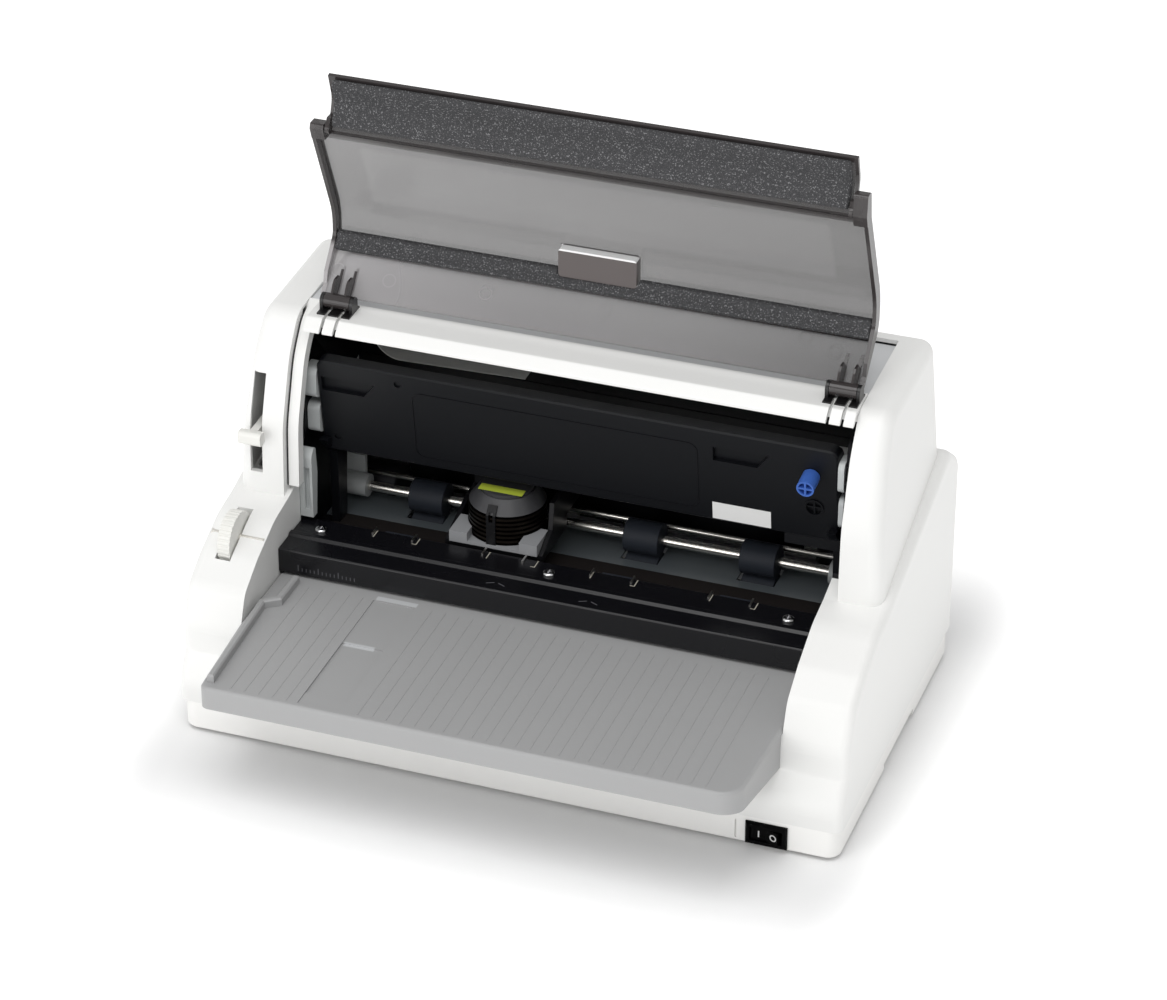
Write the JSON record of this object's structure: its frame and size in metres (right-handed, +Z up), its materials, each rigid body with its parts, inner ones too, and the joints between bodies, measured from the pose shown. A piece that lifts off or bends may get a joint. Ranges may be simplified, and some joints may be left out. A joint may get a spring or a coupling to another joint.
{
  "type": "dot matrix printer",
  "caption": "Flatbed dot matrix printer with its smoked front cover standing open over the ribbon cartridge, print head, feed rollers and a flat paper table.",
  "frame": {"origin": "on the desk, below the centre of the base tray", "axes": "+X towards the printer's right, +Y towards its back, +Z up"},
  "size_m": [0.397, 0.289, 0.3666],
  "materials": {
    "casing": "fine-textured",
    "base": "fine-textured",
    "table": "fine-textured",
    "black_plastic": "satin",
    "grey_plastic": "satin",
    "white_plastic": "satin",
    "blue_plastic": "glossy",
    "smoked_plastic": "glossy",
    "roller_rubber": "matte",
    "foot_rubber": "matte",
    "foam": "open-celled",
    "steel": "ground",
    "zinc_steel": "zinc plated",
    "screw_steel": "plated",
    "head_metal": "black anodised",
    "motor_steel": "satin",
    "board": "lacquered",
    "cable": "satin",
    "ribbon": "inked"
  },
  "bodies": {
    "printer": {"base_tray": "base", "rubber_feet": "foot_rubber", "lower_casing": "casing", "upper_casing": "casing", "hinge_bar": "casing", "top_inset_panel": "grey_plastic", "paper_table": "table", "edge_guide": "table", "front_guide_rail": "black_plastic", "rail_screws": "screw_steel", "roller_clips": "steel", "front_guide_plate": "zinc_steel", "rear_guide_plate": "zinc_steel", "platen_bar": "black_plastic", "chassis_pan": "zinc_steel", "side_frame_left": "zinc_steel", "side_frame_right": "zinc_steel", "carriage_shaft": "steel", "shaft_bushes": "white_plastic", "feed_motor": "motor_steel", "rear_rail": "zinc_steel", "carriage_motor": "motor_steel", "carriage_belt": "roller_rubber", "ribbon_cartridge": "black_plastic", "ribbon_band": "ribbon", "cartridge_holders": "white_plastic", "release_bracket": "white_plastic", "flex_cable": "cable", "main_board": "board", "power_supply": "zinc_steel", "ac_inlet": "black_plastic", "data_sockets": "black_plastic", "switch_bezel": "black_plastic", "wheel_axle": "steel", "hinge_brackets": "black_plastic"},
    "carriage_group": {"carriage": "black_plastic", "print_head": "head_metal", "head_cap": "black_plastic", "head_clip": "steel", "head_bracket": "grey_plastic"},
    "drive_pulley_group": {"drive_pulley": "white_plastic"},
    "idler_pulley_group": {"idler_pulley": "white_plastic"},
    "rear_lower_group": {"rear_lower_shaft": "steel", "rear_lower_rollers": "roller_rubber"},
    "rear_upper_group": {"rear_upper_shaft": "steel", "rear_upper_rollers": "roller_rubber"},
    "front_lower_group": {"front_lower_shaft": "steel", "front_lower_rollers": "roller_rubber"},
    "pinch_group": {"pinch_rollers": "roller_rubber"},
    "idler_gear_group": {"idler_gear": "white_plastic"},
    "pinion_group": {"motor_pinion": "white_plastic"},
    "knob_group": {"ribbon_knob": "blue_plastic"},
    "wheel_group": {"thumb_wheel": "white_plastic"},
    "lever_group": {"gap_lever": "white_plastic"},
    "rocker_group": {"power_rocker": "black_plastic"},
    "cover_group": {"cover_panel": "smoked_plastic", "cover_grip": "grey_plastic", "cover_foam": "foam"},
    "flap_group": {"cover_flap": "smoked_plastic", "flap_foam": "foam"}
  },
  "joints": [
    {"name": "carriage_travel", "type": "slide", "parent": "printer", "child": "carriage_group", "axis": [1, 0, 0], "range_m": [-0.0675, 0.1565]},
    {"name": "drive_pulley_spin", "type": "hinge", "parent": "printer", "child": "drive_pulley_group", "pos_m": [0.141, 0.0855, 0.11], "axis": [0, 0, 1], "continuous": true},
    {"name": "idler_pulley_spin", "type": "hinge", "parent": "printer", "child": "idler_pulley_group", "pos_m": [-0.141, 0.0855, 0.11], "axis": [0, 0, 1], "continuous": true},
    {"name": "feed_spin", "type": "hinge", "parent": "printer", "child": "rear_lower_group", "pos_m": [0, 0.044, 0.0652], "axis": [1, 0, 0], "continuous": true},
    {"name": "rear_upper_spin", "type": "hinge", "parent": "printer", "child": "rear_upper_group", "pos_m": [0, 0.044, 0.0855], "axis": [1, 0, 0], "continuous": true},
    {"name": "front_lower_spin", "type": "hinge", "parent": "printer", "child": "front_lower_group", "pos_m": [0, -0.004, 0.0652], "axis": [1, 0, 0], "continuous": true},
    {"name": "pinch_spin", "type": "hinge", "parent": "printer", "child": "pinch_group", "pos_m": [0, -0.004, 0.081], "axis": [1, 0, 0], "continuous": true},
    {"name": "idler_gear_spin", "type": "hinge", "parent": "printer", "child": "idler_gear_group", "pos_m": [-0.1685, 0.02, 0.0618], "axis": [1, 0, 0], "continuous": true},
    {"name": "motor_pinion_spin", "type": "hinge", "parent": "printer", "child": "pinion_group", "pos_m": [-0.1775, 0.06871, 0.07419], "axis": [1, 0, 0], "continuous": true},
    {"name": "ribbon_knob_turn", "type": "hinge", "parent": "printer", "child": "knob_group", "pos_m": [0.1426, -0.00143, 0.17497], "axis": [0, -0.991, -0.1337], "continuous": true},
    {"name": "thumb_wheel_turn", "type": "hinge", "parent": "printer", "child": "wheel_group", "pos_m": [-0.18225, -0.064, 0.104], "axis": [1, 0, 0], "continuous": true},
    {"name": "gap_lever_swing", "type": "hinge", "parent": "printer", "child": "lever_group", "pos_m": [-0.182, 0.076, 0.158], "axis": [1, 0, 0], "range_deg": [-16, 7]},
    {"name": "power_rocker_tilt", "type": "hinge", "parent": "printer", "child": "rocker_group", "pos_m": [0.156, -0.1102, 0.0104], "axis": [0, 0, 1], "range_deg": [0, 16]},
    {"name": "cover_hinge", "type": "hinge", "parent": "printer", "child": "cover_group", "pos_m": [0, 0.007, 0.2285], "axis": [1, 0, 0], "range_deg": [0, 160]},
    {"name": "flap_hinge", "type": "hinge", "parent": "cover_group", "child": "flap_group", "pos_m": [0.005, 0.0105, 0.336], "axis": [1, 0, 0], "range_deg": [-55, 0]}
  ],
  "couplings": [
    {"joint": "drive_pulley_spin", "follows": "carriage_travel", "rad_per_m": 155.04},
    {"joint": "idler_pulley_spin", "follows": "carriage_travel", "rad_per_m": 155.04},
    {"joint": "rear_upper_spin", "follows": "feed_spin", "ratio": -1},
    {"joint": "idler_gear_spin", "follows": "feed_spin", "ratio": -0.71429},
    {"joint": "front_lower_spin", "follows": "feed_spin", "ratio": 1},
    {"joint": "pinch_spin", "follows": "feed_spin", "ratio": -1.8182},
    {"joint": "motor_pinion_spin", "follows": "feed_spin", "ratio": -3.3333}
  ]
}
